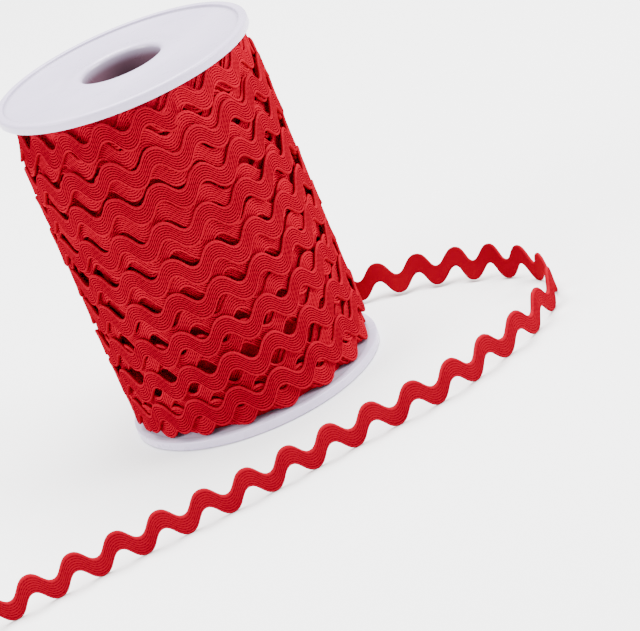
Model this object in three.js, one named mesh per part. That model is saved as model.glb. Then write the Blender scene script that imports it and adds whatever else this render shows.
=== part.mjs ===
// A standing plastic spool wound with ric rac, a flat woven trim with waved edges, and its loose end.
// Units are millimetres. The spool's axis is Z and its underside stands on Z = 0, centred on the origin.

import * as THREE from 'three';
import * as BufferGeometryUtils from 'three/addons/utils/BufferGeometryUtils.js';

// Spool
const spoolHeight = 88.4;
const flangeRadius = 32.0;
const flangeThickness = 2.4;
const rimWidth = 2.2;
const faceRecess = 0.45;
const rimRound = 0.8;
const innerEdge = 0.3;
const boreRadius = 10.0;
const boreLipRound = 1.4;
const collarLength = 6.0;
const collarWall = 0.9;
const tubeWall = 1.2;
const gap = 0.3;

// Trim
const tapeThickness = 0.95;
const bandWidth = 4.5;
const waveHeight = 1.95;
const waveSharpness = 0.06;
const waveShear = 0.36;
const tailWavelength = 10.8;
const tapeHalfWidth = bandWidth / 2 + waveHeight * (1 + waveSharpness);

// Winding: the outermost layer is one waved band that climbs the roll, gently in front and faster behind
const windingValleyRadius = 29.7;
const windingOuterRadius = 31.1;
const wavesPerTurn = 17.8;
const turnPitch = 8.93;
const windingTurns = 8.6;
const steadyShare = 0.35;
const crossoverFrom = 0.5;
const exitHeight = 7.4;
const stepsPerTurn = 102;
const exitStep = 24;
const diveTurns = 0.15;
const wanderHeight = 0.3;
const wandersPerTurn = 0.37;
const diveShare = 0.8;
const settling = 2.2;
const settlingFrom = 72;
const settlingTo = 84;

// Loose end: it leaves the roll behind, comes down to the surface and stands there on its edge
const tailPhaseStart = -0.325;
const leanAngle = (33 * Math.PI) / 180;
const leanFrom = 8;
const leanFull = 42;
const leanEases = 55;
const leanEnds = 88;
const tailStepsPerWave = 8;
const standing = tapeHalfWidth + 0.05;
const tailRoute = [
  [12.0, 29.7, 7.25],
  [24.0, 26.9, 5.8],
  [35.2, 21.9, 4.6],
  [48.2, 16.0, standing],
  [58.4, 8.9, standing],
  [66.4, 0.7, standing],
  [72.3, -8.4, standing],
  [74.5, -18.0, standing],
  [74.0, -26.0, standing],
  [69.6, -34.2, standing],
  [63.2, -42.0, standing],
  [54.4, -47.8, standing],
  [45.9, -53.2, standing],
  [36.3, -56.9, standing],
  [22.1, -59.6, standing],
  [9.1, -62.5, standing],
  [-6.4, -66.4, standing],
  [-22.6, -68.8, standing],
  [-38.6, -71.0, standing],
  [-54.2, -73.4, standing],
  [-70.7, -76.4, standing],
  [-79.0, -77.5, standing],
];

// Worked-out sizes
const roundSegments = 48;
const windingLow = flangeThickness + gap;
const windingHigh = spoolHeight - flangeThickness - gap;
const tubeInnerRadius = boreRadius + collarWall + gap;
const tubeOuterRadius = tubeInnerRadius + tubeWall;
const windingInnerRadius = tubeOuterRadius + gap;
const exitAngle = (exitStep / stepsPerTurn) * 2 * Math.PI;
const windingSteps = Math.round(windingTurns * stepsPerTurn);

const whitePlastic = new THREE.MeshStandardMaterial({ color: 0xe6e4ec, roughness: 0.38, metalness: 0 });
const redTrim = new THREE.MeshStandardMaterial({ color: 0xc8141c, roughness: 0.85, metalness: 0 });
const redLooseEnd = new THREE.MeshStandardMaterial({ color: 0xb51018, roughness: 0.85, metalness: 0 });

// A closed indexed mesh: one vertex wherever corners meet
function welded(geometry) {
  const bare = geometry.clone();
  bare.deleteAttribute('normal');
  bare.deleteAttribute('uv');
  return BufferGeometryUtils.mergeVertices(bare, 1e-4);
}

// A profile of [radius, height] pairs, closed on itself, turned about Z
function turned(profile) {
  const points = profile.map(([radius, height]) => new THREE.Vector2(radius, height));
  points.push(points[0].clone());
  return new THREE.LatheGeometry(points, roundSegments).rotateX(Math.PI / 2);
}

// Points of a quarter circle from one angle to another, ends included
function arc(centreRadius, centreHeight, radius, fromAngle, toAngle, pieces) {
  const points = [];
  for (let i = 0; i <= pieces; i += 1) {
    const angle = fromAngle + ((toAngle - fromAngle) * i) / pieces;
    points.push([centreRadius + radius * Math.cos(angle), centreHeight + radius * Math.sin(angle)]);
  }
  return points;
}

// A flange with its outer face up and its winding side at height 0, with a collar that plugs into the tube
function flangeGeometry() {
  const face = flangeThickness - faceRecess;
  const rimInner = flangeRadius - rimWidth;
  const profile = [
    [boreRadius, -collarLength],
    [boreRadius + collarWall, -collarLength],
    [boreRadius + collarWall, 0],
    [flangeRadius - innerEdge, 0],
    [flangeRadius, innerEdge],
    ...arc(flangeRadius - rimRound, flangeThickness - rimRound, rimRound, 0, Math.PI / 2, 3),
    [rimInner + faceRecess, flangeThickness],
    [rimInner, face],
    ...arc(boreRadius + boreLipRound, face - boreLipRound, boreLipRound, Math.PI / 2, Math.PI, 3),
  ];
  return turned(profile);
}

function tubeGeometry() {
  return turned([
    [tubeInnerRadius, windingLow],
    [tubeOuterRadius, windingLow],
    [tubeOuterRadius, windingHigh],
    [tubeInnerRadius, windingHigh],
  ]);
}

// A flat strip whose corners are moved one by one: place(along, across, through) gives a corner's new
// position, with along from 0 to 1 and across and through from -0.5 to 0.5
function bentStrip(steps, place) {
  const strip = new THREE.BoxGeometry(1, 1, 1, steps, 1, 1);
  const corners = strip.attributes.position;
  const moved = new THREE.Vector3();
  for (let i = 0; i < corners.count; i += 1) {
    place(corners.getX(i) + 0.5, corners.getY(i), corners.getZ(i), moved);
    corners.setXYZ(i, moved.x, moved.y, moved.z);
  }
  return welded(strip);
}

// How far the band's middle line stands off the tape's middle line, after so many waves
function waveAt(waves) {
  const angle = 2 * Math.PI * waves;
  return waveHeight * (Math.cos(angle) + waveSharpness * Math.cos(3 * angle));
}

// How far the yarns 1 mm above the middle line are pushed on along the wave there, so that the band is
// about as wide on its slopes as on its crests
function waveShearAt(waves) {
  const angle = 2 * Math.PI * waves;
  const slope = (waveHeight * 2 * Math.PI) / tailWavelength;
  return waveShear * slope * (Math.sin(angle) + 3 * waveSharpness * Math.sin(3 * angle));
}

function smoothStep(from, to, value) {
  const t = Math.min(1, Math.max(0, (value - from) / (to - from)));
  return t * t * (3 - 2 * t);
}

// How many pitches the band has climbed after so many turns: each turn rises a little all the way round,
// and crosses over to the next in its second half
function climbAt(turns) {
  const part = turns - Math.floor(turns);
  return turns - part + steadyShare * part + (1 - steadyShare) * smoothStep(crossoverFrom, 1, part);
}

// How much lower the winding lies under the top flange, where its left side has settled
function settledAt(angle, height) {
  return settling * smoothStep(settlingFrom, settlingTo, height) * (0.5 - 0.5 * Math.cos(angle));
}

// Corner heights, radii and shear, in steps, of the outermost layer's band after so many steps along it.
// It starts where the loose end leaves, climbs the roll and sinks almost level with the layer below.
function bandAt(step) {
  const turns = step / stepsPerTurn;
  const left = (windingSteps - step) / stepsPerTurn;
  const sunk = Math.max(0, 1 - left / diveTurns) * (windingOuterRadius - windingValleyRadius) * diveShare;
  const wander = wanderHeight * Math.min(1, turns, left) * Math.sin(2 * Math.PI * wandersPerTurn * turns);
  const waves = tailPhaseStart - wavesPerTurn * turns;
  const middle = exitHeight + turnPitch * climbAt(turns) + wander + waveAt(waves);
  const ends = Math.min(1, (step * 2) / stepsPerTurn, left * 2);
  const shear = (ends * waveShearAt(waves) * bandWidth) / 2;
  return {
    low: middle - bandWidth / 2,
    high: middle + bandWidth / 2,
    radius: windingOuterRadius - sunk,
    shift: (shear * stepsPerTurn) / (2 * Math.PI * windingOuterRadius),
  };
}

// The winding: a thick sleeve round the tube whose outer wall carries the outermost layer in relief.
// Every step of the band has four corners, and each turn's wall is joined to the turn above it.
function windingGeometry() {
  const corners = [];
  const faces = [];
  const addCorner = (radius, step, height) => {
    const angle = exitAngle + (2 * Math.PI * step) / stepsPerTurn;
    corners.push(radius * Math.cos(angle), radius * Math.sin(angle), height);
    return corners.length / 3 - 1;
  };
  const addFan = (first, ...others) => {
    for (let i = 0; i + 1 < others.length; i += 1) faces.push(first, others[i], others[i + 1]);
  };

  const addSettled = (radius, step, height) => {
    const angle = exitAngle + (2 * Math.PI * step) / stepsPerTurn;
    return addCorner(radius - settledAt(angle, height), step, height);
  };

  const ring = (radius, height, add) => {
    const steps = Array.from({ length: stepsPerTurn }, (_, step) => step);
    return steps.map((step) => add(radius, step, height));
  };
  const innerLow = ring(windingInnerRadius, windingLow, addCorner);
  const innerHigh = ring(windingInnerRadius, windingHigh, addCorner);
  const outerLow = ring(windingValleyRadius, windingLow, addSettled);
  const outerHigh = ring(windingValleyRadius, windingHigh, addSettled);
  const at = (corner, step) => corner[step % stepsPerTurn];

  const footBelow = [];
  const edgeBelow = [];
  const edgeAbove = [];
  const footAbove = [];
  for (let step = 0; step <= windingSteps; step += 1) {
    const band = bandAt(step);
    footBelow.push(addSettled(windingValleyRadius, step + band.shift, band.low));
    edgeBelow.push(addSettled(band.radius, step + band.shift, band.low));
    edgeAbove.push(addSettled(band.radius, step - band.shift, band.high));
    footAbove.push(addSettled(windingValleyRadius, step - band.shift, band.high));
  }

  for (let step = 0; step < windingSteps; step += 1) {
    const next = step + 1;
    addFan(footBelow[step], footBelow[next], edgeBelow[next], edgeBelow[step]);
    addFan(edgeBelow[step], edgeBelow[next], edgeAbove[next], edgeAbove[step]);
    addFan(edgeAbove[step], edgeAbove[next], footAbove[next], footAbove[step]);
  }
  for (let step = 0; step < windingSteps - stepsPerTurn; step += 1) {
    const above = step + stepsPerTurn;
    addFan(footAbove[step], footAbove[step + 1], footBelow[above + 1], footBelow[above]);
  }

  const lastOfFirstTurn = stepsPerTurn - 1;
  for (let step = 0; step < lastOfFirstTurn; step += 1) {
    addFan(outerLow[step], outerLow[step + 1], footBelow[step + 1], footBelow[step]);
  }
  addFan(footBelow[lastOfFirstTurn], outerLow[lastOfFirstTurn], outerLow[0], footBelow[0], footAbove[0],
    footBelow[stepsPerTurn]);
  addFan(footBelow[0], edgeBelow[0], edgeAbove[0], footAbove[0]);

  const topTurn = windingSteps - stepsPerTurn;
  for (let step = topTurn + 1; step < windingSteps; step += 1) {
    addFan(footAbove[step], footAbove[step + 1], at(outerHigh, step + 1), at(outerHigh, step));
  }
  addFan(footAbove[topTurn + 1], at(outerHigh, topTurn + 1), at(outerHigh, topTurn), footAbove[windingSteps],
    footBelow[windingSteps], footAbove[topTurn]);
  addFan(footBelow[windingSteps], footAbove[windingSteps], edgeAbove[windingSteps], edgeBelow[windingSteps]);

  for (let step = 0; step < stepsPerTurn; step += 1) {
    const next = step + 1;
    addFan(at(innerLow, step), at(innerLow, next), at(outerLow, next), at(outerLow, step));
    addFan(at(outerHigh, step), at(outerHigh, next), at(innerHigh, next), at(innerHigh, step));
    addFan(at(innerHigh, step), at(innerHigh, next), at(innerLow, next), at(innerLow, step));
  }

  const geometry = new THREE.BufferGeometry();
  geometry.setAttribute('position', new THREE.Float32BufferAttribute(corners, 3));
  geometry.setIndex(faces);
  geometry.computeVertexNormals();
  return geometry;
}

// The loose end: one waved strip that stands on its edge along its route
function looseEndGeometry() {
  const startRadius = windingOuterRadius - tapeThickness / 2;
  const startAngle = exitAngle - gap / startRadius;
  const start = [startRadius * Math.cos(startAngle), startRadius * Math.sin(startAngle), exitHeight];
  const route = [start, ...tailRoute].map((point) => new THREE.Vector3(...point));
  const curve = new THREE.CatmullRomCurve3(route, false, 'centripetal');
  curve.arcLengthDivisions = 2000;
  const length = curve.getLength();
  const steps = Math.round((length / tailWavelength) * tailStepsPerWave);
  return bentStrip(steps, (along, across, through, out) => {
    const run = along * length;
    const waves = tailPhaseStart + run / tailWavelength;
    const lean = leanAngle * smoothStep(leanFrom, leanFull, run) * (1 - smoothStep(leanEases, leanEnds, run));
    const heading = curve.getTangentAt(along);
    const side = new THREE.Vector3(heading.y, -heading.x, 0).normalize();
    const height = waveAt(waves) + across * bandWidth;
    const depth = through * tapeThickness;
    out.copy(curve.getPointAt(along));
    out.addScaledVector(heading, across * bandWidth * waveShearAt(waves) * smoothStep(0, 12, run));
    out.addScaledVector(side, depth * Math.cos(lean) - height * Math.sin(lean));
    out.z += height * Math.cos(lean) + depth * Math.sin(lean);
  });
}

function namedMesh(name, geometry, material) {
  const mesh = new THREE.Mesh(geometry, material);
  mesh.name = name;
  return mesh;
}

const coreTube = namedMesh('core_tube', tubeGeometry(), whitePlastic);

const topFlange = namedMesh('top_flange', flangeGeometry(), whitePlastic);
topFlange.position.z = spoolHeight - flangeThickness;

const bottomFlange = namedMesh('bottom_flange', flangeGeometry(), whitePlastic);
bottomFlange.rotation.x = Math.PI;
bottomFlange.position.z = flangeThickness;

const winding = namedMesh('wound_ric_rac', windingGeometry(), redTrim);
const looseEnd = namedMesh('loose_end', looseEndGeometry(), redLooseEnd);

const spoolOfRicRac = new THREE.Group();
spoolOfRicRac.name = 'roll_of_ric_rac';
spoolOfRicRac.add(coreTube, topFlange, bottomFlange, winding, looseEnd);

export default spoolOfRicRac;
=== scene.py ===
"""A roll of ric rac: a white plastic spool wound with red waved trim, and the trim's loose end.

All lengths are metres in the part's frame, where the spool stands on Z = 0 with its axis on Z.
"""

import logging
import math
from dataclasses import dataclass
from enum import Enum
from typing import NamedTuple

import bmesh
import bpy
from mathutils import Matrix, Vector


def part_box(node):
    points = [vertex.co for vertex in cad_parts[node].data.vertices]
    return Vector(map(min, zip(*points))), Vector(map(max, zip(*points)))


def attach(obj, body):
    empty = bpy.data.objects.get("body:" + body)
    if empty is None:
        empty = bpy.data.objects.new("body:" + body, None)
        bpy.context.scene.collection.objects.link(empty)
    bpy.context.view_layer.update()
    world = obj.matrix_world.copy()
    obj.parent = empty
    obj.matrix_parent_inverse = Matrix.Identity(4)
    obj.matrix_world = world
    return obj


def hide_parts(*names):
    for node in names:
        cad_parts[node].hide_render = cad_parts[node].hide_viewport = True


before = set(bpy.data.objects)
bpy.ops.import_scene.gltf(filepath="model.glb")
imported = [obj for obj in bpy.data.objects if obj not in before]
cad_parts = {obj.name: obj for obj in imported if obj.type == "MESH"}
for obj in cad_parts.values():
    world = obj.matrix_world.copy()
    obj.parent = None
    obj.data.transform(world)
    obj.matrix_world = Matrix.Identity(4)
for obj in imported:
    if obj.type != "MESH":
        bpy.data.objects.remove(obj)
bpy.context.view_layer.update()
LOG = logging.getLogger("roll_of_ric_rac")
MM = 0.001
FULL_TURN = 2 * math.pi
UP = Vector((0, 0, 1))
WELD = 1e-7

# Where the loose end leaves the roll, behind it
EXIT_ANGLE = FULL_TURN * 24 / 102

# How far the winding's upper left has settled, and the heights between which the drop grows
SETTLED_DROP = 2.2 * MM
SETTLED_FROM = 72 * MM
SETTLED_TO = 84 * MM

# The Mix node's sockets for colours
MIX_SHARE, MIX_FIRST, MIX_SECOND, MIX_RESULT = 0, 6, 7, 2

Colour = tuple[float, float, float, float]
Socket = bpy.types.NodeSocket

# The loose end's route past the roll, as in the part's source, at the tape's middle height
STANDING = 4.367 * MM
LOOSE_ROUTE = [
    (0.0120, 0.0297, 0.00725),
    (0.0240, 0.0269, 0.0058),
    (0.0352, 0.0219, 0.0046),
    (0.0482, 0.0160, STANDING),
    (0.0584, 0.0089, STANDING),
    (0.0664, 0.0007, STANDING),
    (0.0723, -0.0084, STANDING),
    (0.0745, -0.0180, STANDING),
    (0.0740, -0.0260, STANDING),
    (0.0696, -0.0342, STANDING),
    (0.0632, -0.0420, STANDING),
    (0.0544, -0.0478, STANDING),
    (0.0459, -0.0532, STANDING),
    (0.0363, -0.0569, STANDING),
    (0.0221, -0.0596, STANDING),
    (0.0091, -0.0625, STANDING),
    (-0.0064, -0.0664, STANDING),
    (-0.0226, -0.0688, STANDING),
    (-0.0386, -0.0710, STANDING),
    (-0.0542, -0.0734, STANDING),
    (-0.0707, -0.0764, STANDING),
    (-0.0790, -0.0775, STANDING),
]


class Side(Enum):
    """Which end of the spool a flange closes."""

    TOP = "top"
    BOTTOM = "bottom"


class Traverse(Enum):
    """Which way a layer of the winding travels as it goes round."""

    UP = 1
    DOWN = -1


def smooth_step(low: float, high: float, value: float) -> float:
    """Ease from 0 to 1 as a value goes from low to high.

    Args:
        low: where the ease starts.
        high: where it ends.
        value: the value looked up.

    Returns:
        A share from 0 to 1.
    """
    t = min(1.0, max(0.0, (value - low) / (high - low)))
    return t * t * (3 - 2 * t)


def climb_at(turns: float, steady: float = 0.35, crossover: float = 0.5) -> float:
    """Pitches climbed after so many turns, with the crossover to the next turn in its second half.

    Args:
        turns: turns made so far.
        steady: share of the pitch that is climbed evenly all the way round.
        crossover: where in each turn the rest of the climb starts.

    Returns:
        The height climbed, in pitches.
    """
    part = turns - math.floor(turns)
    return turns - part + steady * part + (1 - steady) * smooth_step(crossover, 1.0, part)


def settled_at(spot: Vector) -> float:
    """How much lower the winding lies under the top flange, where its left side has settled.

    Args:
        spot: a place on the winding.

    Returns:
        The drop in radius.
    """
    leftward = 0.5 - 0.5 * spot.x / math.hypot(spot.x, spot.y)
    return SETTLED_DROP * smooth_step(SETTLED_FROM, SETTLED_TO, spot.z) * leftward


class NodePen:
    """Writes a material's node tree with short calls."""

    def __init__(self, name: str) -> None:
        """Start a material with one Principled shader.

        Args:
            name: the material's name.
        """
        self.material = bpy.data.materials.new(name)
        self.material.use_nodes = True
        self.tree = self.material.node_tree
        self.shader = self.tree.nodes["Principled BSDF"]

    def node(self, kind: str, **settings: object) -> bpy.types.Node:
        """Add a node and set its properties.

        Args:
            kind: the node's type name.
            **settings: its properties.

        Returns:
            The node.
        """
        made = self.tree.nodes.new(kind)
        for key, value in settings.items():
            setattr(made, key, value)
        return made

    def join(self, source: Socket | float | Colour, socket: Socket) -> None:
        """Link a socket to an input, or set the input to a constant.

        Args:
            source: a socket, a number or a colour.
            socket: the input.
        """
        if isinstance(source, Socket):
            self.tree.links.new(source, socket)
        else:
            socket.default_value = source

    def math(self, operation: str, first: Socket | float, second: Socket | float = 0.0) -> Socket:
        """Add a Math node.

        Args:
            operation: the node's operation.
            first: a socket or a number.
            second: a socket or a number.

        Returns:
            The result's socket.
        """
        made = self.node("ShaderNodeMath", operation=operation)
        self.join(first, made.inputs[0])
        self.join(second, made.inputs[1])
        return made.outputs[0]

    def ramp(self, value: Socket, low: float, high: float) -> Socket:
        """Map a value smoothly from the range low to high onto 0 to 1.

        Args:
            value: the socket to map.
            low: the value that becomes 0.
            high: the value that becomes 1.

        Returns:
            The mapped value's socket.
        """
        made = self.node("ShaderNodeMapRange", interpolation_type="SMOOTHSTEP")
        self.join(value, made.inputs["Value"])
        made.inputs["From Min"].default_value = low
        made.inputs["From Max"].default_value = high
        return made.outputs["Result"]

    def mix(
        self, share: Socket | float, first: Socket | Colour, second: Socket | Colour
    ) -> Socket:
        """Mix two colours.

        Args:
            share: how much of the second, a socket or a number.
            first: a socket or an RGBA colour.
            second: a socket or an RGBA colour.

        Returns:
            The mixed colour's socket.
        """
        made = self.node("ShaderNodeMix", data_type="RGBA")
        self.join(share, made.inputs[MIX_SHARE])
        self.join(first, made.inputs[MIX_FIRST])
        self.join(second, made.inputs[MIX_SECOND])
        return made.outputs[MIX_RESULT]

    def place(self) -> tuple[Socket, Socket, Socket]:
        """Read the Object coordinates.

        Returns:
            The sockets of x, y and z.
        """
        split = self.node("ShaderNodeSeparateXYZ")
        self.join(self.node("ShaderNodeTexCoord").outputs["Object"], split.inputs[0])
        return split.outputs[0], split.outputs[1], split.outputs[2]

    def noise(self, scale: float, detail: float = 3.0) -> Socket:
        """Add a noise on Object coordinates.

        Args:
            scale: features per metre.
            detail: octaves.

        Returns:
            The noise's factor socket.
        """
        made = self.node("ShaderNodeTexNoise")
        made.inputs["Scale"].default_value = scale
        made.inputs["Detail"].default_value = detail
        self.join(self.node("ShaderNodeTexCoord").outputs["Object"], made.inputs["Vector"])
        return made.outputs["Fac"]

    def bump(self, height: Socket, distance: float, strength: float) -> None:
        """Put a bump on the shader's normal, on top of one that is there already.

        Args:
            height: the height's socket, from 0 to 1.
            distance: the height of 1, in metres.
            strength: the bump's strength.
        """
        made = self.node("ShaderNodeBump")
        made.inputs["Distance"].default_value = distance
        made.inputs["Strength"].default_value = strength
        self.join(height, made.inputs["Height"])
        normal = self.shader.inputs["Normal"]
        if normal.is_linked:
            self.join(normal.links[0].from_socket, made.inputs["Normal"])
        self.join(made.outputs["Normal"], normal)


@dataclass(frozen=True)
class TrimFinish:
    """Red woven trim: raised yarns, stitched grooves darkened with painted shade, a painted
    highlight along both edges and a plain dark back.

    Each pair is a range of v or of the ridge's height, over which one look turns into another.
    """

    name: str
    yarn: Colour = (0.26, 0.0, 0.010, 1)
    # painted shade: the dark red laid in the grooves between the yarns
    groove_shade: Colour = (0.032, 0.0, 0.001, 1)
    # painted highlight: lighter red laid along the tape's two edges, where the turning yarns catch
    # the light
    edge: Colour = (0.36, 0.001, 0.016, 1)
    back: Colour = (0.22, 0.0, 0.007, 1)
    yarns: int = 7
    stitch: float = 0.80 * MM
    # painted light: scales the finish's brightness, giving lighter or darker copies of one trim
    painted_light_scale: float = 1.0
    face_end: tuple[float, float] = (1.02, 1.12)
    edge_highlight_width: float = 0.07
    edge_highlight_share: float = 0.7
    stitch_least: float = 0.03
    stitch_rise: float = 0.45
    crown: tuple[float, float] = (0.32, 0.90)
    patch_scale: float = 90.0
    patch_least: float = 0.84
    patch_rise: float = 0.32
    roughness: float = 0.75
    fuzz_scale: float = 6000.0
    fuzz_height: float = 0.04 * MM
    fuzz_strength: float = 0.4
    yarn_height: float = 0.14 * MM
    yarn_strength: float = 0.8

    def material(self) -> bpy.types.Material:
        """Build the material on the strip's UV map: u along it in millimetres, v across it.

        Returns:
            The material.
        """
        pen = NodePen(self.name)
        split = pen.node("ShaderNodeSeparateXYZ")
        pen.join(pen.node("ShaderNodeUVMap", uv_map="UVMap").outputs["UV"], split.inputs[0])
        along, across = split.outputs[0], split.outputs[1]
        count = pen.math("MULTIPLY", across, self.yarns)
        part = pen.math("FRACT", count)
        ridge = pen.math("SINE", pen.math("MULTIPLY", part, math.pi))
        odd = pen.math("MULTIPLY", pen.math("ROUND", count), 0.5)
        stitches = pen.math("ADD", pen.math("DIVIDE", along, self.stitch / MM), odd)
        dash = pen.math("SINE", pen.math("MULTIPLY", stitches, FULL_TURN))
        dash = pen.math("MULTIPLY", pen.math("ADD", dash, 1.0), 0.5)
        on_face = pen.math("SUBTRACT", 1.0, pen.ramp(across, *self.face_end))
        # painted highlight: a mask for a narrow band along each edge of the face
        low_edge_highlight = pen.math("SUBTRACT", 1.0, pen.ramp(across, 0.0, self.edge_highlight_width))
        high_edge_highlight = pen.ramp(across, 1.0 - self.edge_highlight_width, 1.0)
        edge_highlight_mask = pen.math("MULTIPLY", pen.math("ADD", high_edge_highlight, low_edge_highlight), on_face)

        # the grooves get the painted shade, and the yarn crowns and stitch dashes get the yarn's
        # red
        bared = pen.math("ADD", self.stitch_least, pen.math("MULTIPLY", dash, self.stitch_rise))
        lit = pen.math("MAXIMUM", pen.ramp(ridge, *self.crown), bared)
        face = pen.mix(lit, self.groove_shade, self.yarn)
        # lay the painted edge highlight over the face
        face = pen.mix(pen.math("MULTIPLY", edge_highlight_mask, self.edge_highlight_share), face, self.edge)
        colour = pen.mix(on_face, self.back, face)
        patches = pen.math("MULTIPLY", pen.noise(self.patch_scale), self.patch_rise)
        patches = pen.math("ADD", self.patch_least, patches)
        tone = pen.node("ShaderNodeHueSaturation")
        pen.join(pen.math("MULTIPLY", patches, self.painted_light_scale), tone.inputs["Value"])
        pen.join(colour, tone.inputs["Color"])
        pen.join(tone.outputs["Color"], pen.shader.inputs["Base Color"])

        pen.shader.inputs["Roughness"].default_value = self.roughness
        pen.shader.inputs["Specular IOR Level"].default_value = 0.0
        pen.bump(pen.noise(self.fuzz_scale, 2.0), self.fuzz_height, self.fuzz_strength)
        height = pen.math("MULTIPLY", pen.math("MAXIMUM", ridge, bared), on_face)
        pen.bump(height, self.yarn_height, self.yarn_strength)
        return pen.material


@dataclass(frozen=True)
class PlasticFinish:
    """White moulded plastic with a lavender cast, a soft gloss and faint flow marks, and painted
    shade in the rim's inner corner and deep in the bore.
    """

    name: str = "white_plastic"
    light: Colour = (0.60, 0.53, 0.70, 1)
    dusk: Colour = (0.53, 0.47, 0.64, 1)
    # painted shade deep in the bore, tinted mauve by the red trim behind the thin wall
    bore: Colour = (0.12, 0.060, 0.085, 1)
    # painted shade: a darker grey ring on the face, just inside the rim's step
    corner: Colour = (0.40, 0.36, 0.47, 1)
    corner_shade_share: float = 0.8
    corner_shade_rise: tuple[float, float] = (29.1 * MM, 29.8 * MM)
    corner_shade_fall: tuple[float, float] = (29.9 * MM, 30.2 * MM)
    bore_shade_edge: tuple[float, float] = (11.25 * MM, 11.35 * MM)
    bore_shade_depth: tuple[float, float] = (40.6 * MM, 44.6 * MM)
    middle: float = 44.2 * MM
    cloud_scale: float = 38.0
    cloud_edge: tuple[float, float] = (0.35, 0.65)
    gloss_scale: float = 240.0
    gloss_least: float = 0.22
    gloss_rise: float = 0.14
    flow_scale: float = 60.0
    flow_height: float = 0.35 * MM
    flow_strength: float = 0.35
    grain_scale: float = 1800.0
    grain_height: float = 0.02 * MM
    grain_strength: float = 0.4
    glow: float = 0.06
    glow_reach: tuple[float, float, float] = (1.0, 0.8, 1.0)
    glow_scale: float = 1.0 * MM

    def material(self) -> bpy.types.Material:
        """Build the material on Object coordinates.

        Returns:
            The material.
        """
        pen = NodePen(self.name)
        cloud = pen.ramp(pen.noise(self.cloud_scale, 2.0), *self.cloud_edge)
        white = pen.mix(cloud, self.light, self.dusk)
        radius = self.from_axis(pen)
        # painted shade in the corner inside the rim
        line = pen.math("MULTIPLY", pen.ramp(radius, *self.corner_shade_rise), self.corner_shade_share)
        corner_shade_within = pen.math("SUBTRACT", 1.0, pen.ramp(radius, *self.corner_shade_fall))
        white = pen.mix(pen.math("MULTIPLY", line, corner_shade_within), white, self.corner)
        # painted shade inside the bore, darkening with depth from each mouth
        near_axis = pen.math("SUBTRACT", 1.0, pen.ramp(radius, *self.bore_shade_edge))
        inside = pen.math("MULTIPLY", near_axis, self.bore_shade_share(pen))
        pen.join(pen.mix(inside, white, self.bore), pen.shader.inputs["Base Color"])
        rough = pen.math("MULTIPLY", pen.noise(self.gloss_scale), self.gloss_rise)
        pen.join(pen.math("ADD", self.gloss_least, rough), pen.shader.inputs["Roughness"])
        pen.shader.inputs["Subsurface Weight"].default_value = self.glow
        pen.shader.inputs["Subsurface Radius"].default_value = self.glow_reach
        pen.shader.inputs["Subsurface Scale"].default_value = self.glow_scale
        pen.bump(pen.noise(self.flow_scale, 2.0), self.flow_height, self.flow_strength)
        pen.bump(pen.noise(self.grain_scale, 2.0), self.grain_height, self.grain_strength)
        return pen.material

    @staticmethod
    def from_axis(pen: NodePen) -> Socket:
        """Find the distance from the spool's axis.

        Args:
            pen: the material's pen.

        Returns:
            The distance's socket.
        """
        x, y, _ = pen.place()
        squares = pen.math("ADD", pen.math("MULTIPLY", x, x), pen.math("MULTIPLY", y, y))
        return pen.math("SQRT", squares)

    def bore_shade_share(self, pen: NodePen) -> Socket:
        """Find how deep a point lies in the bore, where painted shade darkens it, tinted mauve by
        the red trim behind the thin wall.

        Args:
            pen: the material's pen.

        Returns:
            A share from 0 at the mouths to 1 inside.
        """
        z = pen.place()[2]
        from_middle = pen.math("ABSOLUTE", pen.math("SUBTRACT", z, self.middle))
        return pen.math("SUBTRACT", 1.0, pen.ramp(from_middle, *self.bore_shade_depth))


class OutlinePoint(NamedTuple):
    """A point of the tape's cut: across it, through it, and its v, over 1 behind the face."""

    across: float
    through: float
    v: float


@dataclass(frozen=True)
class TapeSection:
    """The cut across the trim: raised yarns on its face, rounded edges and a plain back.

    The shares are of half its thickness. The v values tell the finish its edges and its back.
    """

    width: float = 4.82 * MM
    thickness: float = 0.95 * MM
    yarns: int = 7
    points_per_yarn: int = 3
    yarn_depth: float = 0.13 * MM
    back_points: int = 3
    inset: float = 0.18 * MM
    face_share: float = 0.35
    back_share: float = 0.45
    upper_edge_v: tuple[float, float] = (1.04, 1.08)
    back_v: float = 1.15
    lower_edge_v: tuple[float, float, float] = (2.22, 2.26, 2.30)

    def outline(self) -> list[OutlinePoint]:
        """Work out the closed outline, from the face's lower edge across it and back behind.

        Returns:
            The points in order, the last one on top of the first.
        """
        half, deep = self.width / 2, self.thickness / 2
        face_side, back_side = deep * self.face_share, -deep * self.back_share
        count = self.yarns * self.points_per_yarn
        points = []
        for i in range(count + 1):
            share = i / count
            ridge = abs(math.sin(math.pi * share * self.yarns))
            through = deep - self.yarn_depth * (1 - ridge)
            points.append(OutlinePoint((half - self.inset) * (2 * share - 1), through, share))
        points.append(OutlinePoint(half, face_side, self.upper_edge_v[0]))
        points.append(OutlinePoint(half, back_side, self.upper_edge_v[1]))
        for i in range(self.back_points + 1):
            share = i / self.back_points
            across = (half - self.inset) * (1 - 2 * share)
            points.append(OutlinePoint(across, -deep, self.back_v + share))
        points.append(OutlinePoint(-half, back_side, self.lower_edge_v[0]))
        points.append(OutlinePoint(-half, face_side, self.lower_edge_v[1]))
        points.append(OutlinePoint(points[0].across, points[0].through, self.lower_edge_v[2]))
        return points


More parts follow.
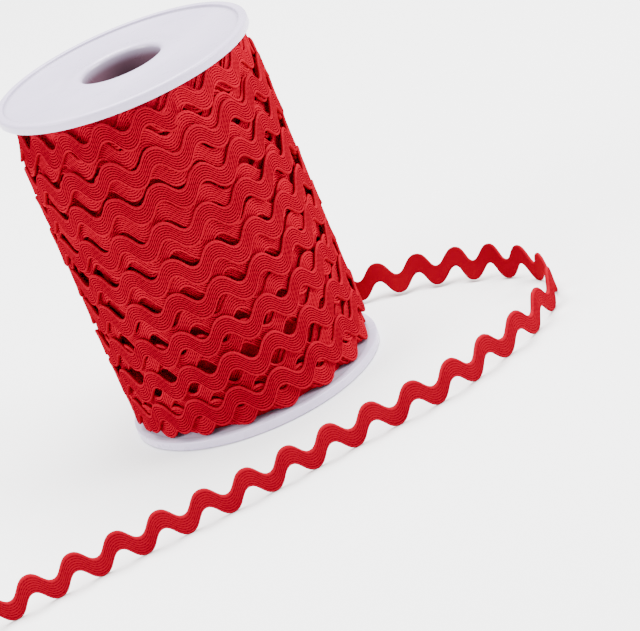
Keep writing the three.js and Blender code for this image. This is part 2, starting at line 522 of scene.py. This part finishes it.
@dataclass(frozen=True)
class Wave:
    """The trim's wave: the band swings across the tape and keeps its width on the slopes."""

    height: float = 1.95 * MM
    rounding: float = 0.045
    shear: float = 0.10
    length: float = 10.8 * MM
    curl: float = 0.30 * MM

    def offset(self, waves: float) -> float:
        """Find how far the band's middle stands off the tape's middle line.

        Args:
            waves: waves from the start.

        Returns:
            The offset, in metres.
        """
        angle = FULL_TURN * waves
        full = math.cos(angle) - self.rounding * math.cos(3 * angle)
        return self.height * full / (1 - self.rounding)

    def push(self, waves: float) -> float:
        """How far the yarns are pushed along the wave, for each metre above the band's middle."""
        slope = self.height * FULL_TURN / self.length
        return self.shear * slope * math.sin(FULL_TURN * waves)


class Station(NamedTuple):
    """One step along the tape: its middle, its three ways, its waves, its run and its shear."""

    middle: Vector
    up: Vector
    out: Vector
    onward: Vector
    waves: float
    run: float
    shear: float


class WavedStrip:
    """A closed strip of trim, swept along its stations."""

    def __init__(self, name: str, section: TapeSection, wave: Wave, settles: bool = False) -> None:
        """Keep what the strip is made of.

        Args:
            name: the piece's name.
            section: the cut across it.
            wave: its wave.
            settles: whether it lies lower where the winding has settled.
        """
        self.name = name
        self.section = section
        self.wave = wave
        self.settles = settles

    def build(self, stations: list[Station]) -> bpy.types.Object:
        """Bend a grid into the strip, weld its seam and close its ends.

        Args:
            stations: the steps along it.

        Returns:
            The strip's object, at the origin.
        """
        outline = self.section.outline()
        steps, rows = len(stations) - 1, len(outline) - 1
        grid = bmesh.new()
        bmesh.ops.create_grid(grid, x_segments=steps, y_segments=rows, size=1.0)
        columns = {v: self.column(v, steps, rows) for v in grid.verts}
        layer = grid.loops.layers.uv.new("UVMap")
        for face in grid.faces:
            face.smooth = True
            for loop in face.loops:
                step, row = columns[loop.vert]
                loop[layer].uv = (stations[step].run / MM, outline[row].v)
        for vert, (step, row) in columns.items():
            vert.co = self.place(stations[step], outline[row])
        bmesh.ops.remove_doubles(grid, verts=grid.verts, dist=WELD)
        ends = [edge for edge in grid.edges if edge.is_boundary]
        bmesh.ops.holes_fill(grid, edges=ends, sides=0)
        bmesh.ops.recalc_face_normals(grid, faces=grid.faces)
        return finished(self.name, grid)

    @staticmethod
    def column(vert: bmesh.types.BMVert, steps: int, rows: int) -> tuple[int, int]:
        """Read from a grid corner which step and which outline point it is."""
        return round((vert.co.x + 1) / 2 * steps), round((vert.co.y + 1) / 2 * rows)

    def place(self, station: Station, point: OutlinePoint) -> Vector:
        """Work out where one corner of the strip goes.

        Args:
            station: the step.
            point: the outline's point.

        Returns:
            The corner's place.
        """
        reach = self.wave.offset(station.waves) + point.across
        far = abs(reach) / (self.wave.height + self.section.width / 2)
        lift = self.wave.curl * far ** 3
        push = point.across * self.wave.push(station.waves) * station.shear
        outward = station.out * (point.through + lift)
        spot = station.middle + station.onward * push + station.up * reach + outward
        return spot - station.out * settled_at(spot) if self.settles else spot


def finished(name: str, mesh: bmesh.types.BMesh) -> bpy.types.Object:
    """Turn a bmesh into an object of the scene that rides on the part.

    Args:
        name: the piece's name.
        mesh: its bmesh, which is freed.

    Returns:
        The object.
    """
    data = bpy.data.meshes.new(name)
    mesh.to_mesh(data)
    mesh.free()
    made = bpy.data.objects.new(name, data)
    bpy.context.scene.collection.objects.link(made)
    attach(made, "root")
    LOG.info("%s: %d faces", name, len(data.polygons))
    return made


def turned(
    name: str, profile: list[tuple[float, float]], steps: int, sharp: float = 0.6
) -> bpy.types.Object:
    """Spin a closed profile about Z.

    Args:
        name: the piece's name.
        profile: radius and height of each corner, in order round the cut.
        steps: steps in the full turn.
        sharp: edges that bend by more than this angle, in radians, stay crisp.

    Returns:
        The object.
    """
    mesh = bmesh.new()
    corners = [mesh.verts.new((radius, 0, height)) for radius, height in profile]
    edges = [mesh.edges.new((corners[i - 1], corners[i])) for i in range(len(corners))]
    bmesh.ops.spin(
        mesh, geom=corners + edges, cent=(0, 0, 0), axis=UP, angle=FULL_TURN, steps=steps,
        use_merge=True, use_duplicate=False,
    )
    bmesh.ops.remove_doubles(mesh, verts=mesh.verts, dist=WELD)
    bmesh.ops.recalc_face_normals(mesh, faces=mesh.faces)
    for face in mesh.faces:
        face.smooth = True
    for edge in mesh.edges:
        edge.smooth = edge.calc_face_angle(0.0) < sharp
    return finished(name, mesh)


def rounding(
    centre: tuple[float, float], radius: float, start: float, end: float, pieces: int
) -> list[tuple[float, float]]:
    """Work out the points of a rounding in a profile.

    Args:
        centre: its centre's radius and height.
        radius: its own radius.
        start: its first angle.
        end: its last angle.
        pieces: steps between them.

    Returns:
        Radius and height of each point.
    """
    angles = [start + (end - start) * i / pieces for i in range(pieces + 1)]
    return [(centre[0] + radius * math.cos(a), centre[1] + radius * math.sin(a)) for a in angles]


def ring(inner: float, outer: float, bottom: float, top: float) -> list[tuple[float, float]]:
    """Work out the cut of a plain ring.

    Args:
        inner: its inner radius.
        outer: its outer radius.
        bottom: its lower height.
        top: its upper height.

    Returns:
        Radius and height of each corner.
    """
    return [(inner, bottom), (outer, bottom), (outer, top), (inner, top)]


@dataclass
class Flange:
    """A flange with a raised rim, a swelling round its bore and a collar that fits the tube."""

    side: Side
    rim_width: float = 2.0 * MM
    recess: float = 0.75 * MM
    rim_round: float = 0.8 * MM
    bore: float = 10.0 * MM
    lip_round: float = 1.3 * MM
    swelling: float = 0.65 * MM
    swelling_width: float = 5.0 * MM
    collar: float = 6.0 * MM
    collar_wall: float = 0.9 * MM
    thickness: float = 2.4 * MM
    edge_round: float = 0.3 * MM
    edge_pieces: int = 3
    rim_pieces: int = 6
    lip_pieces: int = 8
    steps: int = 144

    def profile(self, radius: float) -> list[tuple[float, float]]:
        """Work out the cut with the outer face up and the winding side at 0.

        Args:
            radius: the flange's radius.

        Returns:
            Radius and height of each corner.
        """
        face = self.thickness - self.recess
        rim = radius - self.rim_width
        edge = self.edge_round
        lip = self.bore + self.lip_round
        top = face + self.swelling
        down, level, up, back = -math.pi / 2, 0.0, math.pi / 2, math.pi
        points = [
            (self.bore, -self.collar),
            (self.bore + self.collar_wall, -self.collar),
            (self.bore + self.collar_wall, 0.0),
        ]
        points += rounding((radius - edge, edge), edge, down, level, self.edge_pieces)
        corner = (radius - self.rim_round, self.thickness - self.rim_round)
        points += rounding(corner, self.rim_round, level, up, self.rim_pieces)
        points += rounding((rim + edge, self.thickness - edge), edge, up, back, self.edge_pieces)
        points += rounding((rim - edge, face + edge), edge, level, down, self.edge_pieces)
        for i in range(self.lip_pieces + 1):
            share = i / self.lip_pieces
            swell = self.swelling * (1 - math.cos(math.pi * share)) / 2
            points.append((lip + self.swelling_width * (1 - share), face + swell))
        points += rounding((lip, top - self.lip_round), self.lip_round, up, back, self.lip_pieces)
        return points

    def build(self) -> bpy.types.Object:
        """Spin the flange at its own end of the spool.

        Returns:
            The flange, which stands for its solid.
        """
        node = f"{self.side.value}_flange"
        low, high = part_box(node)
        cut = self.profile(high.x)
        if self.side is Side.TOP:
            cut = [(r, high.z - self.thickness + z) for r, z in cut]
        else:
            cut = [(r, low.z + self.thickness - z) for r, z in cut]
        made = turned(f"{node}_moulding", cut, self.steps)
        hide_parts(node)
        return made


@dataclass
class Tube:
    """The spool's plain tube, inside the winding."""

    inner: float = 11.2 * MM
    outer: float = 12.4 * MM
    steps: int = 96

    def build(self) -> bpy.types.Object:
        """Spin the tube between the flanges.

        Returns:
            The tube, which stands for its solid.
        """
        low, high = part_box("core_tube")
        cut = ring(self.inner, self.outer, low.z, high.z)
        made = turned("core_tube_moulding", cut, self.steps)
        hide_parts("core_tube")
        return made


@dataclass
class Spool:
    """The moulded spool: two flanges and a tube."""

    finish: PlasticFinish = PlasticFinish()

    def build(self) -> list[bpy.types.Object]:
        """Build the mouldings and dress them.

        Returns:
            The three pieces.
        """
        material = self.finish.material()
        pieces = [Flange(Side.TOP).build(), Flange(Side.BOTTOM).build(), Tube().build()]
        for piece in pieces:
            piece.data.materials.append(material)
        return pieces


@dataclass(frozen=True)
class Layer:
    """One layer of the winding, as the machine laid it.

    Its turns are counted from where the loose end leaves, and each crosses over to the next in
    its second half. It wanders up and down, sways along its wave and rides in and out a little.
    Its last part sinks under its neighbours.
    """

    name: str
    radius: float
    span: tuple[float, float]
    travel: Traverse
    first_turn: float
    start_height: float
    turns: float
    start_waves: float
    waves_per_turn: float
    pitch: float = 8.93 * MM
    sink_turns: float = 0.15
    sink: float = 1.1 * MM
    wander: float = 0.3 * MM
    wander_rate: float = 0.37
    sway: float = 0.03
    sway_rate: float = 0.31
    ride: float = 0.18 * MM
    ride_rate: float = 5.3
    ride_rise: float = 4.0
    shear_rise: float = 2.0
    steps_per_wave: int = 16

    def stations(self) -> list[Station]:
        """Walk along the layer from its first turn to its last.

        Returns:
            The stations, one for each step.
        """
        count = round(self.turns * self.waves_per_turn * self.steps_per_wave)
        return [self.station(self.turns * i / count) for i in range(count + 1)]

    def station(self, turns: float) -> Station:
        """Work out one step of the layer.

        Args:
            turns: turns made since its start.

        Returns:
            The station.
        """
        left = self.turns - turns
        angle = EXIT_ANGLE + FULL_TURN * (self.first_turn + turns)
        climbed = climb_at(self.first_turn + turns) - climb_at(self.first_turn)
        wander = self.wander * math.sin(FULL_TURN * self.wander_rate * turns)
        wander *= min(1.0, turns, left)
        height = self.start_height + self.travel.value * self.pitch * climbed + wander
        height = min(self.span[1], max(self.span[0], height))
        drop = self.sink * max(0.0, 1 - left / self.sink_turns)
        ride = self.ride * math.sin(self.ride_rate * angle) * min(1.0, self.ride_rise * turns)
        out = Vector((math.cos(angle), math.sin(angle), 0))
        onward = Vector((math.sin(angle), -math.cos(angle), 0))
        middle = out * (self.radius + ride - drop) + UP * height
        sway = self.sway * min(1.0, turns) * math.sin(FULL_TURN * self.sway_rate * turns)
        waves = self.start_waves - self.waves_per_turn * turns + sway
        shear = min(1.0, self.shear_rise * turns, self.shear_rise * left)
        return Station(middle, UP, out, onward, waves, angle * self.radius, shear)


@dataclass(frozen=True)
class PackedFinish:
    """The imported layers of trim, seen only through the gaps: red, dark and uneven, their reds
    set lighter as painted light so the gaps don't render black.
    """

    name: str = "trim_packed"
    # painted light: both reds are set light so the deep gaps don't render black
    dark: Colour = (0.27, 0.0, 0.010, 1)
    light: Colour = (0.40, 0.0, 0.018, 1)
    patch_scale: float = 700.0
    patch_edge: tuple[float, float] = (0.3, 0.7)
    roughness: float = 0.85
    lump_scale: float = 900.0
    lump_height: float = 0.4 * MM
    lump_strength: float = 0.8

    def material(self) -> bpy.types.Material:
        """Build the material on Object coordinates.

        Returns:
            The material.
        """
        pen = NodePen(self.name)
        patches = pen.ramp(pen.noise(self.patch_scale), *self.patch_edge)
        colour = pen.mix(patches, self.dark, self.light)
        pen.join(colour, pen.shader.inputs["Base Color"])
        pen.shader.inputs["Roughness"].default_value = self.roughness
        pen.shader.inputs["Specular IOR Level"].default_value = 0.0
        pen.bump(pen.noise(self.lump_scale), self.lump_height, self.lump_strength)
        return pen.material


@dataclass
class Winding:
    """The wound trim: four layers of it as real strips, over a sleeve of the layers below."""

    exit_height: float = 7.4 * MM
    exit_waves: float = -0.325
    outer_radius: float = 30.62 * MM
    layer_gap: float = 1.0 * MM
    reach: float = 4.36 * MM
    wave: Wave = Wave()
    sleeve_inner: float = 12.7 * MM
    sleeve_gaps: float = 3.6
    sleeve_steps: int = 96
    sleeve_finish: PackedFinish = PackedFinish()

    def layers(self, bottom: float, top: float) -> list[tuple[Layer, TapeSection, TrimFinish]]:
        """Set out the layers from the outermost in.

        Args:
            bottom: the winding's lowest height.
            top: its highest.

        Returns:
            Each layer with the section and the finish of its strip.
        """
        radii = [self.outer_radius - i * self.layer_gap for i in range(4)]
        span = (bottom + self.reach, top - self.reach)
        outer = Layer(
            "winding_outer_layer", radii[0], span, Traverse.UP, first_turn=0.0,
            start_height=self.exit_height, turns=8.6, start_waves=self.exit_waves,
            waves_per_turn=17.8,
        )
        second = Layer(
            "winding_second_layer", radii[1], span, Traverse.DOWN, first_turn=-0.5,
            start_height=85.5 * MM, turns=10.0, start_waves=0.2, waves_per_turn=17.1,
            wander=0.85 * MM, wander_rate=0.61, sway=0.02, ride_rate=4.1, steps_per_wave=12,
        )
        third = Layer(
            "winding_third_layer", radii[2], span, Traverse.UP, first_turn=-1.0,
            start_height=2.4 * MM, turns=10.0, start_waves=0.6, waves_per_turn=16.9,
            wander=0.8 * MM, wander_rate=0.43, sway=0.0, ride_rate=3.7, steps_per_wave=10,
        )
        fourth = Layer(
            "winding_fourth_layer", radii[3], span, Traverse.DOWN, first_turn=0.1,
            start_height=87.5 * MM, turns=10.2, start_waves=0.35, waves_per_turn=16.1,
            wander=0.9 * MM, wander_rate=0.29, sway=0.0, ride_rate=4.7, steps_per_wave=8,
        )
        coarse = TapeSection(points_per_yarn=2, back_points=1)
        coarser = TapeSection(points_per_yarn=1, back_points=1)
        # the under layers get brighter copies of the finish: painted light that lifts the shade
        # between the turns
        return [
            (outer, TapeSection(), TrimFinish("trim_outer")),
            (second, coarse, TrimFinish("trim_second", painted_light_scale=1.3)),
            (third, coarse, TrimFinish("trim_third", painted_light_scale=1.45)),
            (fourth, coarser, TrimFinish("trim_fourth", painted_light_scale=1.6)),
        ]

    def sleeve(self, bottom: float, top: float) -> bpy.types.Object:
        """Build the sleeve of packed layers that closes the holes.

        Args:
            bottom: the winding's lowest height.
            top: its highest.

        Returns:
            The sleeve.
        """
        outer = self.outer_radius - self.sleeve_gaps * self.layer_gap
        cut = ring(self.sleeve_inner, outer, bottom, top)
        made = turned("winding_packed_layers", cut, self.sleeve_steps)
        made.data.materials.append(self.sleeve_finish.material())
        return made

    def build(self) -> list[bpy.types.Object]:
        """Build every layer and the sleeve, and dress them.

        Returns:
            The pieces, outermost first.
        """
        low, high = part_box("wound_ric_rac")
        pieces = []
        for layer, section, finish in self.layers(low.z, high.z):
            strip = WavedStrip(layer.name, section, self.wave, settles=True)
            piece = strip.build(layer.stations())
            piece.data.materials.append(finish.material())
            pieces.append(piece)
        pieces.append(self.sleeve(low.z, high.z))
        for piece in pieces:
            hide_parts("wound_ric_rac")
        return pieces


@dataclass
class LooseEnd:
    """The trim's loose end: it leaves the roll behind, stands on edge and comes round in front."""

    winding: Winding
    wave: Wave = Wave(curl=0.0)
    section: TapeSection = TapeSection(points_per_yarn=4, yarn_depth=0.08 * MM, back_points=18)
    # the loose end's copy is darker overall, painted shade for the stronger light on it, and its
    # grooves get lighter painted shade
    finish: TrimFinish = TrimFinish("trim_loose", groove_shade=(0.15, 0.0, 0.005, 1), painted_light_scale=0.85)
    lean: float = math.radians(33)
    lean_rise: tuple[float, float] = (8 * MM, 42 * MM)
    lean_fall: tuple[float, float] = (55 * MM, 88 * MM)
    shear_run: float = 12 * MM
    span_steps: int = 60
    steps_per_wave: int = 24
    gap: float = 0.3 * MM

    def route(self) -> list[Vector]:
        """Run a centripetal curve through the route's points, and space it evenly.

        Returns:
            The tape's middle line.
        """
        radius = self.winding.outer_radius
        angle = EXIT_ANGLE - self.gap / radius
        start = (radius * math.cos(angle), radius * math.sin(angle), self.winding.exit_height)
        points = [Vector(p) for p in [start, *LOOSE_ROUTE]]
        points = [2 * points[0] - points[1], *points, 2 * points[-1] - points[-2]]
        line = []
        for before, first, last, after in zip(points, points[1:], points[2:], points[3:]):
            line += self.span(before, first, last, after)
        return self.spaced([*line, points[-2]])

    def span(self, before: Vector, first: Vector, last: Vector, after: Vector) -> list[Vector]:
        """Work out one span of the curve, from one point to just before the next.

        Args:
            before: the point before the span.
            first: the span's first point.
            last: the span's last point.
            after: the point after the span.

        Returns:
            The steps' points.
        """
        ahead = math.sqrt((first - before).length)
        along = math.sqrt((last - first).length)
        beyond = math.sqrt((after - last).length)
        middle = (last - first) / along
        leave = ((first - before) / ahead - (last - before) / (ahead + along) + middle) * along
        reach = (middle - (after - first) / (along + beyond) + (after - last) / beyond) * along
        square = 3 * (last - first) - 2 * leave - reach
        cube = 2 * (first - last) + leave + reach
        shares = [i / self.span_steps for i in range(self.span_steps)]
        return [first + leave * t + square * t * t + cube * t ** 3 for t in shares]

    def spaced(self, line: list[Vector]) -> list[Vector]:
        """Space a line's points evenly, so many to each wave.

        Args:
            line: close points.

        Returns:
            Even points with the same ends.
        """
        runs = [0.0]
        for a, b in zip(line, line[1:]):
            runs.append(runs[-1] + (b - a).length)
        count = round(runs[-1] / self.wave.length * self.steps_per_wave)
        made, k = [], 0
        for i in range(count + 1):
            run = runs[-1] * i / count
            while k < len(runs) - 2 and runs[k + 1] < run:
                k += 1
            share = (run - runs[k]) / (runs[k + 1] - runs[k])
            made.append(line[k].lerp(line[k + 1], share))
        return made

    def lean_at(self, run: float) -> float:
        """How far the strip leans back after so much of its run, between the roll and the bend."""
        rises = smooth_step(*self.lean_rise, run)
        return self.lean * rises * (1 - smooth_step(*self.lean_fall, run))

    def build(self) -> bpy.types.Object:
        """Returns:
            The loose end, which stands for its solid.
        """
        line = self.route()
        stations, run = [], 0.0
        for i, middle in enumerate(line):
            heading = (line[min(i + 1, len(line) - 1)] - line[max(i - 1, 0)]).normalized()
            side = Vector((-heading.y, heading.x, 0)).normalized()
            lean = self.lean_at(run)
            up = UP * math.cos(lean) + side * math.sin(lean)
            out = side * math.cos(lean) - UP * math.sin(lean)
            waves = self.winding.exit_waves + run / self.wave.length
            shear = smooth_step(0.0, self.shear_run, run)
            stations.append(Station(middle, up, out, heading, waves, run, shear))
            run += (line[i + 1] - middle).length if i + 1 < len(line) else 0.0
        strip = WavedStrip("loose_end_trim", self.section, self.wave).build(stations)
        strip.data.materials.append(self.finish.material())
        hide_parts("loose_end")
        LOG.info("loose end: %.3f m long", run)
        return strip


@dataclass(frozen=True)
class PhotoCamera:
    """The camera at the photograph's angle: a long lens, looking down a little and rolled."""

    lens: float = 180.0
    sensor: float = 36.0
    elevation: float = math.radians(20.88)
    roll: float = math.radians(-22.88)
    distance: float = 769.7 * MM
    slide_right: float = 31.15 * MM
    slide_up: float = -21.69 * MM
    nearest: float = 0.05
    farthest: float = 20.0

    def build(self) -> bpy.types.Object:
        """Place the camera and make it the scene's.

        Returns:
            The camera.
        """
        data = bpy.data.cameras.new("photo_camera")
        data.lens = self.lens
        data.sensor_width = self.sensor
        data.clip_start = self.nearest
        data.clip_end = self.farthest
        camera = bpy.data.objects.new("photo_camera", data)
        bpy.context.scene.collection.objects.link(camera)
        back = Vector((0, -math.cos(self.elevation), math.sin(self.elevation)))
        level = Vector((1, 0, 0))
        upright = back.cross(level)
        right = level * math.cos(self.roll) + upright * math.sin(self.roll)
        up = upright * math.cos(self.roll) - level * math.sin(self.roll)
        aim = UP * (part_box("top_flange")[1].z / 2)
        place = aim + back * self.distance + right * self.slide_right + up * self.slide_up
        turn = Matrix((right, up, back)).transposed().to_4x4()
        camera.matrix_world = Matrix.Translation(place) @ turn
        bpy.context.scene.camera = camera
        return camera


@dataclass(frozen=True)
class SoftLight:
    """A large soft lamp, aimed at the roll."""

    name: str
    place: tuple[float, float, float]
    size: float
    power: float
    aim: tuple[float, float, float] = (0.0, 0.0, 0.04)

    def build(self) -> None:
        """Add the lamp."""
        data = bpy.data.lights.new(self.name, "AREA")
        data.shape = "DISK"
        data.size = self.size
        data.energy = self.power
        lamp = bpy.data.objects.new(self.name, data)
        bpy.context.scene.collection.objects.link(lamp)
        heading = Vector(self.aim) - Vector(self.place)
        turn = heading.to_track_quat("-Z", "Y").to_matrix().to_4x4()
        lamp.matrix_world = Matrix.Translation(self.place) @ turn


@dataclass(frozen=True)
class Studio:
    """A plain pale floor under soft light."""

    floor_size: float = 6.0
    floor_segments: int = 8
    floor_colour: Colour = (0.92, 0.92, 0.92, 1)
    floor_roughness: float = 0.9
    floor_specular: float = 0.1
    sky: Colour = (1.0, 1.0, 1.0, 1)
    sky_strength: float = 0.85
    lights: tuple[SoftLight, ...] = (
        SoftLight("overhead_light", (0.1, 0.25, 1.25), 1.1, 72.0),
        SoftLight("left_light", (-0.85, -0.25, 0.45), 0.5, 11.0),
        SoftLight("right_light", (0.85, -0.25, 0.5), 0.5, 15.0),
    )

    def build(self) -> None:
        """Add the floor, the sky and the lamps."""
        self.lay_floor()
        world = bpy.data.worlds.new("soft_sky")
        bpy.context.scene.world = world
        world.use_nodes = True
        background = world.node_tree.nodes["Background"]
        background.inputs["Color"].default_value = self.sky
        background.inputs["Strength"].default_value = self.sky_strength
        for light in self.lights:
            light.build()

    def lay_floor(self) -> None:
        """Add the floor, which isn't part of the object."""
        mesh = bmesh.new()
        pieces = self.floor_segments
        size = self.floor_size / 2
        bmesh.ops.create_grid(mesh, x_segments=pieces, y_segments=pieces, size=size)
        data = bpy.data.meshes.new("floor")
        mesh.to_mesh(data)
        mesh.free()
        floor = bpy.data.objects.new("floor", data)
        bpy.context.scene.collection.objects.link(floor)
        pen = NodePen("pale_floor")
        pen.shader.inputs["Base Color"].default_value = self.floor_colour
        pen.shader.inputs["Roughness"].default_value = self.floor_roughness
        pen.shader.inputs["Specular IOR Level"].default_value = self.floor_specular
        data.materials.append(pen.material)


def main() -> None:
    """Build the camera, the loose end, the winding, the spool and the studio."""
    logging.basicConfig(level=logging.INFO, format="%(message)s")
    PhotoCamera().build()
    winding = Winding()
    LooseEnd(winding).build()
    winding.build()
    Spool().build()
    Studio().build()


if __name__ == "__main__":
    main()
